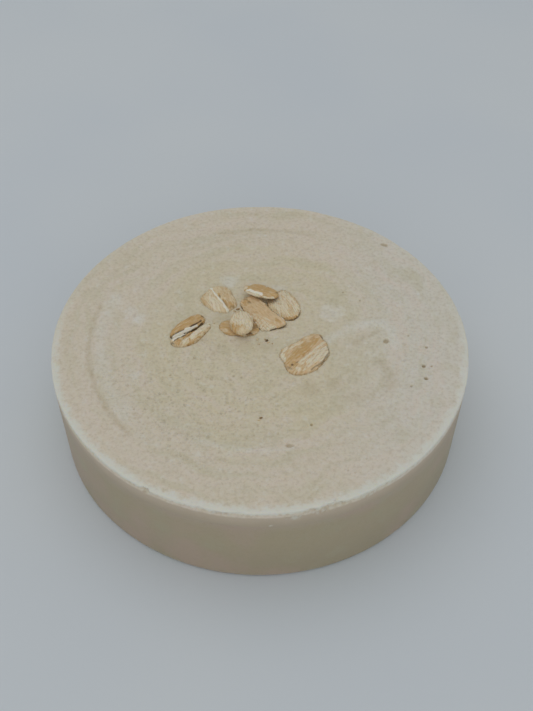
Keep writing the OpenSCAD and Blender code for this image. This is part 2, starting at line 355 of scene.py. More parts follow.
perchedFlake = {
    "lies": ["perched_flake"], "spin": -20, "shift": (-0.3, 0.75), "lean": -17, "halfWidth": 2.1,
    "thick": 0.88, "crown": 0.08,
    "outline": [(-3.3, -0.6), (-3.45, 0.1), (-2.7, 0.65), (-2.2, 1.8), (-0.6, 2.2), (0.9, 2.05),
                (2.6, 1.4), (3.3, 0.6), (3.3, -0.5), (2.6, -1.2), (0.8, -1.75), (-1.2, -1.8),
                (-2.6, -1.4)],
    "fibres": (0.5, 0.03), "ragged": 0.07,
    "folds": [([(-3.3, -0.7), (-1.4, -1.5), (0.8, -1.5), (2.9, -0.9)], 0.5, -0.35),
              ([(0.3, 2.2), (0.5, 1.7)], 0.15, -0.3)],
    "bran": [(0.3, 0.75, 3.0, 1.4, 1.0), (2.9, 0.0, 0.7, 0.7, 0.6)],
    "starch": [([(-2.5, -0.95), (-1.3, -1.22), (0.5, -1.3)], 0.24, 1.7), (0.4, 2.0, 0.2, 0.4, 1.2),
               (-2.9, -0.4, 0.5, 0.4, 0.6),
               ([(-2.6, -1.5), (-0.6, -1.85), (1.4, -1.7), (2.9, -1.0)], 0.3, 0.7)],
    "paintedShade": [(-3.2, 0.6, 0.4, 0.5, 0.3), (3.0, 0.6, 0.4, 0.5, 0.5)],
}

underFlake = {
    "lies": ["under_flake"], "spin": -7, "shift": (0.15, 0.6), "thick": 0.6, "crown": 0.1,
    "outline": [(-3.5, 0.5), (-2.6, 1.8), (-0.9, 2.3), (1.0, 2.3), (2.7, 2.0), (3.8, 1.0), (3.95, 0),
                (3.5, -0.9), (2.2, -1.4), (0.3, -1.6), (-1.3, -1.7), (-2.6, -1.1)],
    "fibres": (0.45, 0.05), "ragged": 0.16, "folds": [([(-3.1, 0.2), (-1.9, -0.7)], 0.25, 0.1)],
    "bran": [(-2.7, 0.7, 0.8, 1.1, 0.5), (3.0, 0.7, 1.1, 1.2, 0.7)],
    "starch": [(-2.3, -0.7, 1.0, 0.45, 0.5), (3.3, -0.6, 0.7, 0.35, 0.45), (1.8, -1.6, 0.7, 0.25, 0.5)],
    "paintedShade": [(3.0, 0.9, 0.7, 0.8, 0.45), (1.6, -1.0, 1.2, 0.35, 0.8)],
}

roundFlake = {
    "lies": ["round_flake"], "spin": -80, "shift": (1.1, 0.75), "lean": 6, "halfWidth": 2.1, "lift": 0.2,
    "thick": 0.75, "crown": 0.4,
    "outline": [(-2.7, -1.0), (-2.95, 0.2), (-2.3, 1.5), (-0.8, 2.15), (0.6, 2.1), (1.9, 1.6),
                (2.75, 0.5), (2.8, -0.5), (1.9, -1.6), (0.3, -2.15), (-1.3, -1.9)],
    "fibres": (0.34, 0.12), "ragged": 0.2, "lumps": 0.2,
    "folds": [([(-2.0, -0.9), (0.4, -0.7), (1.8, -0.1)], 0.18, 0.14),
              ([(-2.0, 0.6), (0.2, 0.8), (1.9, 0.5)], 0.18, 0.14),
              ([(-1.9, -0.1), (0.0, 0.0), (1.5, -0.8)], 0.16, -0.14)],
    "bran": [(1.1, -1.4, 1.3, 0.8, 0.95), (1.0, -0.3, 0.8, 0.6, 0.6)],
    "starch": [(-0.9, 0.2, 1.9, 1.9, 0.95), (1.2, 1.0, 1.4, 0.8, 0.9)],
    "paintedShade": [([(2.75, -0.7), (2.85, 0.1)], 0.08, 0.4)],
}

flakes = {
    "frontOat": (frontFlake, "tan_flake", ["front_flake"]),
    "splitOatBack": (splitBackHalf, "bran", ["split_flake_back_half"]),
    "splitOatFront": (splitFrontHalf, "starch", ["split_flake_front_half"]),
    "seamOat": (seamFlake, "starch", ["seam_flake"]),
    "fanOat": (fanFlake, "starch", ["fan_flake"]),
    "centreOat": (centreFlake, "tan_flake", ["centre_flake"]),
    "perchedOat": (perchedFlake, "bran", ["perched_flake"]),
    "underOat": (underFlake, "bran", ["under_flake"]),
    "roundOat": (roundFlake, "starch", ["round_flake"]),
}

bedded = ["frontOat", "splitOatBack", "splitOatFront", "seamOat", "fanOat", "centreOat", "underOat"]

for flake, slot, nodes in flakes.values():
    middle = flake.get("centre", (0, 0))
    flake["radii"] = roundOutline([(u - middle[0], v - middle[1]) for u, v in flake["outline"]])
    flake["matrix"] = flakePlace(flake) @ Matrix.Translation((*middle, 0))
    flake["toFlake"] = flake["matrix"].inverted()


oatLook = {
    "tan": screen(232, 202, 158),
    "bran": screen(216, 178, 121),
    "starch": screen(243, 230, 200),
    "chalk": screen(254, 248, 232),
    # painted shade: dark slits, gaps, contact lines and cast shadows on the flakes
    "paintedShade": screen(74, 58, 42),
    "branSkin": screen(216, 180, 126),
    "flour": screen(234, 213, 174),
    "paleFibre": screen(248, 234, 204),
    "darkFibre": screen(196, 154, 98),
    "paleHair": screen(250, 238, 210),
    "darkHair": screen(178, 136, 84),
    "speck": screen(160, 120, 76),
    "fibreScale": 2.2,
    "bump": 0.00012,  # metres
    "cells": 66,  # along each side of a flake's grid
}


def oatFinish(name, base):  # oat skin and flour, coloured by the flake's own patches and fibres
    material, start, shader = newFinish(name, {
        "Roughness": 0.72, "Specular IOR Level": 0.35, "Subsurface Weight": 0.12,
        "Subsurface Radius": (1.0, 0.6, 0.3), "Subsurface Scale": 0.0006, "IOR": 1.45})
    painted = attribute(start, "patches")
    along = start.node("ShaderNodeUVMap", {"uv_map": "fibres"})
    fibre = along.node("ShaderNodeMapping", {}, {"Vector": along, "Scale": (0.3, 1.35, 1)}).grain(
        oatLook["fibreScale"], 4.0, 0.6)
    hair = along.node("ShaderNodeMapping", {}, {"Vector": along, "Scale": (0.35, 3.2, 1)}).grain(
        oatLook["fibreScale"], 2.0, 0.5)
    place = placeInMillimetres(start)
    fleck = place.grain(1.6, 4.0, 0.6)
    speck = place.grain(5.5, 2.0, 0.5)
    bran = (painted.channel("R") + (fleck - 0.5) * 0.7 + (fibre - 0.5) * 0.5).ease(0.25, 0.85)
    starch = (painted.channel("G") + (fibre - 0.5) * 0.8 + (fleck - 0.5) * 0.4).ease(0.2, 0.8)
    colour = bran.blend(base, oatLook["bran"])
    colour = starch.blend(colour, oatLook["starch"])
    colour = (fibre.ease(0.5, 0.66) * 0.4).blend(colour, oatLook["paleFibre"])
    colour = ((1 - fibre.ease(0.34, 0.5)) * 0.5).blend(colour, oatLook["darkFibre"])
    colour = (hair.ease(0.55, 0.7) * 0.4).blend(colour, oatLook["paleHair"])
    colour = ((1 - hair.ease(0.3, 0.44)) * 0.4).blend(colour, oatLook["darkHair"])
    colour = (speck.ease(0.6, 0.75) * 0.2).blend(colour, oatLook["speck"])
    chalk = (painted.channel("G") + (fibre - 0.5) * 1.2 + (fleck - 0.5) * 0.8).ease(1.15, 1.75) * 0.85
    colour = chalk.blend(colour, oatLook["chalk"])
    # painted shade from the patches' third channel
    colour = (painted.channel("B") * 0.85).blend(colour, oatLook["paintedShade"])
    plug(colour, shader, "Base Color")
    plug(0.62 + fibre * 0.2, shader, "Roughness")
    bumpFrom(fibre * 0.6 + hair * 0.5 + speck * 0.3, oatLook["bump"], shader)
    return material


def patchStrength(patches, u, v):  # the strongest of a flake's patches at a place, with a broken edge
    stray = 0.45 * rough(u * 0.6, v * 1.8, 3.1, 0.6) + 0.4 * rough(u * 0.5, v * 2, 8.3, 0.3)
    best = 0
    for patch in patches:
        if len(patch) == 3:
            points, reach, strength = patch
            away = distanceToLine(u, v, points) / reach
        else:
            centreU, centreV, reachU, reachV, strength = patch
            away = math.hypot((u - centreU) / reachU, (v - centreV) / reachV)
        if away < 1.9:
            best = max(best, strength * (1 - easeBetween(0.65, 1.25, away + stray)))
    return best


def ribAt(flake, u, v):  # 1 on top of a rib and -1 between two, 0 on a flake that has none
    if "fan" in flake:
        fan = flake["fan"]
        turn = math.atan2(v - fan["from"][1], u - fan["from"][0])
        return math.sin(turn * fan["ribs"] + 1.6 * rough(u, v, 0, 2.5)) * (0.75 + 0.5 * rough(u, v, 4, 1.2))
    if "scallops" in flake:
        scallops = flake["scallops"]
        start = scallops["start"]
        inside = easeBetween(start - 0.8, start + 0.8, u) * (1 - easeBetween(-1.6, 0.3, v))
        return inside * math.sin(u * 2 * math.pi * scallops["ribs"] + 1.2 * v + rough(u, v, 0, 1.5))
    return 0


def flakeTop(flake, u, v, rho):  # height of a flake's upper side over its flat underside
    spacing, depth = flake["fibres"]
    height = flake["thick"] * (0.72 + 0.28 * (1 - rho ** 4)) + flake["crown"] * (1 - rho * rho)
    height += 1.5 * depth * rough(u * 0.22, v, 7.7, spacing)  # fibres, drawn out along u
    height += 0.04 * rough(u, v, 1.3, 0.35)  # grit
    height += 0.08 * rough(u, v, 5.2, 2.4)  # slow sway
    height += flake.get("lumps", 0) * (abs(rough(u, v, 2.2, 0.7)) + 0.5 * rough(u, v, 6.1, 0.3))
    for points, reach, rise in flake["folds"]:
        away = distanceToLine(u, v, points)
        if away < 1.6 * reach:
            height += rise * (1 - easeBetween(0.1 * reach, 1.6 * reach, away))
    for kind in ("fan", "scallops"):
        if kind in flake:
            height += flake[kind]["depth"] * ribAt(flake, u, v) * (0.4 + 0.6 * rho)
    return max(height, 0.16)


def makeFlake(name, flake, slot, nodes):
    bm = bmesh.new()
    discGrid(bm, oatLook["cells"])
    bmesh.ops.solidify(bm, geom=bm.faces[:], thickness=1)
    bottom = min(vert.co.z for vert in bm.verts)
    bmesh.ops.translate(bm, vec=(0, 0, -bottom), verts=bm.verts)
    sides = [e for e in bm.edges if abs(e.verts[0].co.z - e.verts[1].co.z) > 0.5]
    bmesh.ops.subdivide_edges(bm, edges=sides, cuts=3)
    painted = bm.verts.layers.float_color.new("patches")
    middle = flake.get("centre", (0, 0))
    for vert in bm.verts:
        x, y, level = vert.co
        rho = math.hypot(x, y)
        angle = math.atan2(y, x)
        ragged = flake["ragged"] * (rough(3 * math.cos(angle), 3 * math.sin(angle), middle[0], 0.42)
                                    + 0.5 * rough(3 * math.cos(angle), 3 * math.sin(angle), level, 0.16))
        if "scallops" in flake and math.sin(angle) < 0:
            ragged += 0.1 * math.sin(x * 2 * math.pi * flake["scallops"]["ribs"] * 5.2)
        if "fan" in flake and math.cos(angle) > 0:
            ragged += 0.09 * math.sin(angle * 20)
        radius = radiusAt(flake["radii"], angle) + ragged * rho ** 6
        radius -= 0.16 * easeBetween(0.93, 1, rho) * (2 * level - 1) ** 2  # rounded top and bottom edges
        u, v = rho * radius * math.cos(angle), rho * radius * math.sin(angle)
        ownU, ownV = u + middle[0], v + middle[1]
        top = flakeTop(flake, ownU, ownV, rho)
        vert.co = (u, v, top * level)
        # the third strength is painted shade
        bran, starch, paintedShade = (patchStrength(flake[kind], ownU, ownV) for kind in ("bran", "starch", "paintedShade"))
        rib = ribAt(flake, ownU, ownV)
        starch *= 1 - 0.55 * max(-rib, 0)
        bran += 0.5 * max(-rib, 0)
        # painted shade along the foot of the flake's side wall, where it meets the soap
        footShade = 0.3 * (1 - level) * easeBetween(0.97, 1, rho)
        vert[painted] = (bran, starch, min(max(paintedShade, footShade), 1), 1)
    fibres = bm.loops.layers.uv.new("fibres")
    for face in bm.faces:
        for loop in face.loops:
            loop[fibres].uv = (loop.vert.co.x + middle[0], loop.vert.co.y + middle[1])
    bmesh.ops.transform(bm, matrix=flake["matrix"], verts=bm.verts)
    bmesh.ops.recalc_face_normals(bm, faces=bm.faces)
    return finishPiece(name, bm, oatFinishes[slot], slot, *nodes)


oatFinishes = {
    "tan_flake": oatFinish("oatTan", oatLook["tan"]),
    "bran": oatFinish("oatBran", oatLook["branSkin"]),
    "starch": oatFinish("oatStarch", oatLook["flour"]),
}
for name, (flake, slot, nodes) in flakes.items():
    makeFlake(name, flake, slot, nodes)
print("flakes made:", len(flakes))


crumbs = {  # place, length, width, height, spin, how dark
    "bits": [(1.2, -1.2, 0.6, 0.34, 0.24, 30, 1.2), (1.5, -1.6, 0.5, 0.3, 0.2, 20, 0.0),
             (0.9, -0.8, 0.4, 0.3, 0.16, -10, 0.1), (-0.2, -2.0, 0.4, 0.22, 0.14, 10, 0.0),
             (-0.5, -0.9, 0.6, 0.3, 0.18, 35, 0.1), (0.3, -19.1, 0.62, 0.24, 0.14, 15, 0.9),
             (0.0, -19.5, 0.7, 0.2, 0.12, 20, 0.0), (2.2, -1.9, 0.3, 0.2, 0.14, -50, 0.3),
             (-10.2, 2.6, 0.4, 0.2, 0.12, 50, 0.0), (-8.6, 3.2, 0.35, 0.18, 0.1, 20, 0.2),
             (-4.3, 6.9, 0.8, 0.3, 0.2, 12, 0.5), (-4.9, 6.4, 0.6, 0.3, 0.2, -30, 0.1),
             (-3.8, 6.4, 0.5, 0.25, 0.16, 40, 0.2)],
}


def makeCrumbs():
    bm = bmesh.new()
    painted = bm.verts.layers.float_color.new("patches")
    fibres = bm.loops.layers.uv.new("fibres")
    for x, y, length, width, height, spin, dark in crumbs["bits"]:
        place = (Matrix.Translation((x, y, faceHeight + height * 0.3))
                 @ Matrix.Rotation(math.radians(spin), 4, "Z")
                 @ Matrix.Diagonal((length / 2, width / 2, height, 1)))
        made = bmesh.ops.create_icosphere(bm, subdivisions=3, radius=1)["verts"]
        for vert in made:
            vert.co *= 1 + 0.35 * rough(vert.co.x + 7 * x, vert.co.y, vert.co.z, 0.7)
            # dark crumbs take the same colour as the flakes' painted shade
            vert[painted] = (0.5, max(0.6 * (1 - dark), 0), dark * 0.8, 1)
        bmesh.ops.transform(bm, matrix=place, verts=made)
    for face in bm.faces:
        for loop in face.loops:
            loop[fibres].uv = loop.vert.co.xy
    return finishPiece("branCrumbs", bm, oatFinishes["bran"], "bran", "oat_crumbs")


makeCrumbs()
print("crumbs made")


def pourArc(reachX, reachY, start, end):  # points every 6 degrees along a round sweep of the pour
    return [(reachX * math.cos(math.radians(a)), reachY * math.sin(math.radians(a)))
            for a in range(start, end, 6)]


crust = {
    "cells": 262,  # along each side of the face's grid
    "rimRound": 0.3,
    "wallInset": 0.06,
    "wallSteps": 11,
    "swell": 0.09,
    "bedDepth": 0.5,
    "flakeReach": 24,  # no flake lies farther out than this
    "pinholes": 26,
    "pinholeSeed": 41,
    # swirls left by the pour: points, half width, rise, how tan and how pale
    "swirls": [
        (pourArc(31.2, 31.2, 166, 232), 0.5, -0.1, 0.6, 0),
        (pourArc(29.2, 29.2, 160, 222), 1.3, 0.07, 0, 0.45),
        (pourArc(26.2, 25.9, 246, 288), 0.5, 0.07, 0, 0.5),
        (pourArc(30.4, 30.2, 70, 112), 0.45, -0.06, 0.45, 0),
        ([(12.8, -0.9), (15.7, 1.4), (18.2, 3.0), (20.5, 3.8), (23.2, 3.0), (24.3, 0.7), (24.6, -2.0)],
         1.0, 0.13, 0, 0.6),
        # a groove inside the hook; its tan is partly painted shade in the groove
        ([(17.3, -1.4), (19.3, 0.3), (21.6, 1.3)], 0.7, -0.12, 0.5, 0),
        ([(21.5, -6.2), (22.8, -8.6), (22.5, -11.6)], 1.1, -0.12, 0.5, 0),
        ([(14.5, -14.6), (18.5, -14.3), (22.0, -12.2)], 1.2, -0.06, 0.28, 0),
    ],
    # painted shade round the flakes, and darker soap patches by them: place, reach, strength
    "shadeAndDarkPatches": [(-7.6, 4.6, 2.1, 0.24), (-5.6, 4.0, 1.6, 0.24), (1.2, -2.4, 2.6, 0.14),
             (-1.2, 11.0, 1.3, 0.15), (-10.5, -1.2, 1.6, 0.12), (13.0, -11.4, 2.2, 0.2),
             (8.6, -12.6, 2.4, 0.2), (-7.7, -3.2, 2.6, 0.13), (-3.0, -2.6, 2.2, 0.2),
             (0.6, 12.5, 1.4, 0.12)],
    # pale blotches: place, reach, strength
    "blotches": [(-5.9, 14.6, 2.0, 0.6), (13.3, 6.4, 2.6, 0.55), (-27.4, 9.4, 1.8, 0.5),
                 (-22.8, 4.2, 1.7, 0.6), (-24.6, 6.2, 1.6, 0.45), (-22.1, -9.7, 1.5, 0.5),
                 (3.1, 12.6, 1.6, 0.4)],
    # bubbles that burst at the surface: place, radius, depth, how far its long axis is drawn out, spin
    "bubbles": [(23.0, -1.0, 0.62, 0.3, 1.15, 60), (29.2, -7.1, 0.42, 0.38, 1, 0),
                (29.3, -10.0, 0.42, 0.38, 1, 0), (30.2, -2.5, 0.32, 0.25, 1, 0),
                (24.8, 25.7, 0.5, 0.25, 1.9, -25), (5.1, -24.8, 0.5, 0.22, 1.6, 0),
                (8.8, -20.4, 0.3, 0.3, 1, 0), (30.6, -7.1, 0.25, 0.2, 1, 0), (27.2, 0.4, 0.25, 0.2, 1, 0),
                (26.5, -11.8, 0.25, 0.2, 1, 0), (18.9, 9.6, 0.3, 0.2, 1, 0),
                (15.8, 11.8, 0.25, 0.2, 1, 0)],
    # crumbly places on the wall: angle in degrees, height, half width in degrees and in height, depth
    "scraps": [(-75, 18.9, 3.6, 0.8, 0.3), (-70, 19.2, 2.6, 0.5, 0.2), (-87, 16.4, 0.5, 0.25, 0.15),
               (-81, 18.2, 2.4, 0.5, 0.14), (-118, 19.1, 2.0, 0.6, 0.22), (-62, 19.0, 3, 0.5, 0.12),
               (-99, 19.1, 2.4, 0.4, 0.14), (150, 18.8, 3, 0.7, 0.2), (28, 19.0, 3.4, 0.6, 0.2),
               (84, 18.7, 4, 0.7, 0.22)],
    # chips out of the rim: angle in degrees, half width in degrees, depth
    "chips": [(-71.5, 3.4, 0.4), (-118.5, 1.6, 0.3), (-77, 2, 0.22), (-95, 2.5, 0.16), (-104, 1.8, 0.16),
              (-58, 2.2, 0.12), (-137, 2, 0.14), (140, 3, 0.12), (42, 2.5, 0.14), (92, 3.5, 0.1),
              (10, 2, 0.1)],
}


def scatteredPits():  # small burst bubbles, thicker on the left of the face
    seeded = random.Random(crust["pinholeSeed"])
    pits = []
    while len(pits) < crust["pinholes"]:
        reach = puckRadius * 0.92 * math.sqrt(seeded.random())
        turn = seeded.uniform(0, 2 * math.pi)
        x, y = reach * math.cos(turn), reach * math.sin(turn)
        if seeded.random() < 0.3 + 0.7 * easeBetween(26, 8, math.hypot(x + 9, y + 12)):
            pits.append((x, y, seeded.uniform(0.14, 0.23), seeded.uniform(0.05, 0.12), 1, 0))
    return pits


def vertsByPlace(bm):
    tree = kdtree.KDTree(len(bm.verts))
    for index, vert in enumerate(bm.verts):
        tree.insert((vert.co.x, vert.co.y, 0), index)
    tree.balance()
    bm.verts.ensure_lookup_table()
    return tree


def refineAround(bm, pits):  # finer faces where a pit is
    tree = vertsByPlace(bm)
    chosen = set()
    for x, y, radius, depth, drawn, spin in pits:
        chosen.update(index for _, index, _ in tree.find_range((x, y, 0), radius * drawn + 0.35))
    edges = [e for e in bm.edges if e.verts[0].index in chosen and e.verts[1].index in chosen]
    bmesh.ops.subdivide_edges(bm, edges=edges, cuts=2, use_grid_fill=True)


def pitDepths(tree, pits):  # how deep each vertex lies in a pit
    depths = {}
    for centreX, centreY, radius, deep, drawn, spin in pits:
        turn = math.radians(spin)
        for place, index, _ in tree.find_range((centreX, centreY, 0), 1.2 * radius * drawn):
            dx, dy = place.x - centreX, place.y - centreY
            along = (dx * math.cos(turn) + dy * math.sin(turn)) / drawn
            across = dy * math.cos(turn) - dx * math.sin(turn)
            away = math.hypot(along, across) / radius + 0.12 * rough(dx, dy, centreX, 0.3)
            depths[index] = max(depths.get(index, 0), deep * (1 - easeBetween(0.45, 1.05, away)))
    return depths


def bedUnder(x, y):  # how far the face is pressed in below the flakes, less a lip round each
    depth = 0
    for name in bedded:
        flake = flakes[name][0]
        here = flake["toFlake"] @ Vector((x, y, flake["matrix"].translation.z))
        away = math.hypot(here.x, here.y)
        if away > 8:
            continue
        outside = away - radiusAt(flake["radii"], math.atan2(here.y, here.x))
        if outside < 0:
            depth = max(depth, crust["bedDepth"] * easeBetween(0.0, -0.4, outside))
        elif outside < 1.6 and depth == 0:
            lip = 0.1 + 0.09 * rough(x, y, 4.4, 0.6)
            depth = min(depth, -lip * (1 - easeBetween(0.1, 1.0, outside)))
    return depth


def pourMarks(tree):  # rise, tan and pale of each vertex on or by a swirl or blotch
    marks = {}
    for points, reach, high, tanned, paled in crust["swirls"]:
        found = {}
        for x, y in points:
            found.update((index, place) for place, index, _ in tree.find_range((x, y, 0), 2 + 2.2 * reach))
        for index, (x, y, _) in found.items():
            away = abs(distanceToLine(x, y, points) + 0.5 * reach * rough(x, y, 9.1, 2.2))
            near = (1 - easeBetween(0.2 * reach, 1.7 * reach, away)) * (0.75 + 0.5 * rough(x, y, 2.7, 1.6))
            rise, tan, pale = marks.get(index, (0, 0, 0))
            marks[index] = (rise + high * near, max(tan, tanned * near), max(pale, paled * near))
    for centreX, centreY, reach, strength in crust["blotches"]:
        for (x, y, _), index, distance in tree.find_range((centreX, centreY, 0), 1.7 * reach):
            away = distance / reach + 0.5 * rough(x, y, 6.3, 1.1)
            rise, tan, pale = marks.get(index, (0, 0, 0))
            marks[index] = (rise, tan, max(pale, strength * (1 - easeBetween(0.3, 1.2, away))))
    return marks


# painted shade and darker soap patches by the flakes
def shadeAndDarkPatchesAt(x, y):
    shadeAndDarkPatches = 0
    for centreX, centreY, reach, strength in crust["shadeAndDarkPatches"]:
        away = math.hypot(x - centreX, y - centreY) / reach + 0.4 * rough(x, y, 5.5, 0.9)
        shadeAndDarkPatches = max(shadeAndDarkPatches, strength * (1 - easeBetween(0.3, 1.1, away)))
    return shadeAndDarkPatches


def scrapAt(x, y, z, angle):  # how deep the wall is scraped at a place, and how crumbled, 0 to 1
    degrees = math.degrees(angle)
    deepest = crumbled = 0
    for centre, height, reach, tall, deep in crust["scraps"]:
        away = math.hypot(((degrees - centre + 180) % 360 - 180) / reach, (z - height) / tall)
        if away < 1.8:
            share = 1 - easeBetween(0.5, 1.2, away + 0.6 * rough(x, y, z, 0.7))
            crumbled = max(crumbled, share)
            deepest = max(deepest, deep * share)
    return deepest, crumbled


def chipAt(angle):
    degrees = math.degrees(angle)
    depth = 0
    for centre, reach, deep in crust["chips"]:
        away = abs((degrees - centre + 180) % 360 - 180) / reach
        depth = max(depth, deep * (1 - easeBetween(0.3, 1, away)))
    return depth


def wallWander(angle, height):  # how far the moulded wall is in from, or out of, a true cylinder
    x, y = puckRadius * math.cos(angle), puckRadius * math.sin(angle)
    return 0.045 * rough(x, y, height, 9) + 0.012 * rough(x, y, height * 2, 1.2)


def growWall(bm, wall, flat):  # from the face round the rim and down to the seam, closed underneath
    rimRound = crust["rimRound"]
    rings = [(flat + rimRound * math.sin(math.radians(a)),
              faceHeight - rimRound * (1 - math.cos(math.radians(a)))) for a in (18, 36, 54, 72, 90)]
    drop = (faceHeight - rimRound - seamHeight) / crust["wallSteps"]
    rings += [(wall, rings[-1][1] - drop * step) for step in range(1, crust["wallSteps"] + 1)]
    edge = [e for e in bm.edges if e.is_boundary]
    lastRadius, lastHeight = flat, faceHeight
    for radius, height in rings:
        grown = bmesh.ops.extrude_edge_only(bm, edges=edge)["geom"]
        verts = [item for item in grown if isinstance(item, bmesh.types.BMVert)]
        edge = [item for item in grown if isinstance(item, bmesh.types.BMEdge)]
        bmesh.ops.scale(bm, vec=(radius / lastRadius, radius / lastRadius, 1), verts=verts)
        bmesh.ops.translate(bm, vec=(0, 0, height - lastHeight), verts=verts)
        lastRadius, lastHeight = radius, height
    bmesh.ops.holes_fill(bm, edges=edge, sides=0)
    for corner in edge:
        corner.smooth = False


def makeCrust():
    bm = bmesh.new()
    wall = puckRadius - crust["wallInset"]
    flat = wall - crust["rimRound"]
    discGrid(bm, crust["cells"])
    bmesh.ops.scale(bm, vec=(flat, flat, 1), verts=bm.verts)
    bmesh.ops.translate(bm, vec=(0, 0, faceHeight), verts=bm.verts)
    pits = crust["bubbles"] + scatteredPits()
    refineAround(bm, pits)
    tree = vertsByPlace(bm)
    depths = pitDepths(tree, pits)
    marks = pourMarks(tree)

    growWall(bm, wall, flat)

    painted = bm.verts.layers.float_color.new("pour")
    for index, vert in enumerate(bm.verts):
        x, y, z = vert.co
        reach, angle = math.hypot(x, y), math.atan2(y, x)
        onTop = easeBetween(faceHeight - crust["rimRound"], faceHeight, z)
        rise, tan, pale = marks.get(index, (0, 0, 0))
        pit = depths.get(index, 0)
        bed = bedUnder(x, y) if reach < crust["flakeReach"] else 0
        dz = rise - pit - bed
        dz += (crust["swell"] * (rough(x, y, 0.5, 11) - 0.6)
               + 0.025 * rough(x, y, 8.8, 1.7) + 0.012 * rough(x, y, 1.1, 0.6))
        crumble = easeBetween(flat - 0.9, flat + 0.2, reach)
        crumble *= easeBetween(faceHeight - 1.6, faceHeight - 0.4, z)
        crumble *= 0.45 + 0.55 * easeBetween(14, -10, y)
        grit = 0.5 + 0.5 * rough(x, y, z, 0.55)
        inward = crumble * (0.12 * grit + 0.05 * rough(x, y, z, 1.9) + chipAt(angle) * (0.5 + 0.9 * grit))
        dr = -inward
        crumbled = 0
        if reach > flat + 0.2:
            deepest, crumbled = scrapAt(x, y, z, angle)
            bit = 0.5 + 0.8 * rough(x, y, z, 0.42)
            dr += wallWander(angle, z) - deepest * bit
            pale = max(pale, crumbled * easeBetween(0.75, 0.3, bit))
        if reach > 1:
            vert.co.x += dr * x / reach
            vert.co.y += dr * y / reach
        vert.co.z += onTop * min(dz, 0.1) - crumble * onTop * (0.1 * grit + 0.5 * chipAt(angle))
        # painted shade by the flakes, with a few darker soap patches
        shadeAndDarkPatches = shadeAndDarkPatchesAt(x, y) if reach < crust["flakeReach"] else 0
        # third channel is painted shade: darker in the pits, under the flakes' edges and in the patches by
        # them; also a little darker where the wall is crumbled
        vert[painted] = (tan, pale, max(pit / 0.4, 1.6 * (bed - 0.1), shadeAndDarkPatches, 0.25 * crumbled), 1)
    bmesh.ops.recalc_face_normals(bm, faces=bm.faces)
    return finishPiece("pouredCrust", bm, crustFinish(), "crust", "top_crust")


crustLook = {
    "centre": screen(229, 217, 187),
    "outer": screen(231, 219, 197),
    "right": screen(229, 225, 212),
    "olive": screen(212, 204, 172),
    "pink": screen(235, 220, 203),
    "streak": screen(196, 180, 144),
    "pale": screen(240, 238, 228),
    # pale ash of the rim, also used as a painted highlight along the rim's rounded edge
    "rim": screen(235, 235, 223),
    "speck": screen(166, 146, 110),
    # darker wall colour, partly painted shade for the shaded side
    "wall": screen(206, 190, 168),
    # colour of the painted shade in pits, under and by the flakes, also of the darker soap patches
    "shadeAndDarkPatches": screen(170, 146, 102),
    "bump": 0.00012,  # metres
}


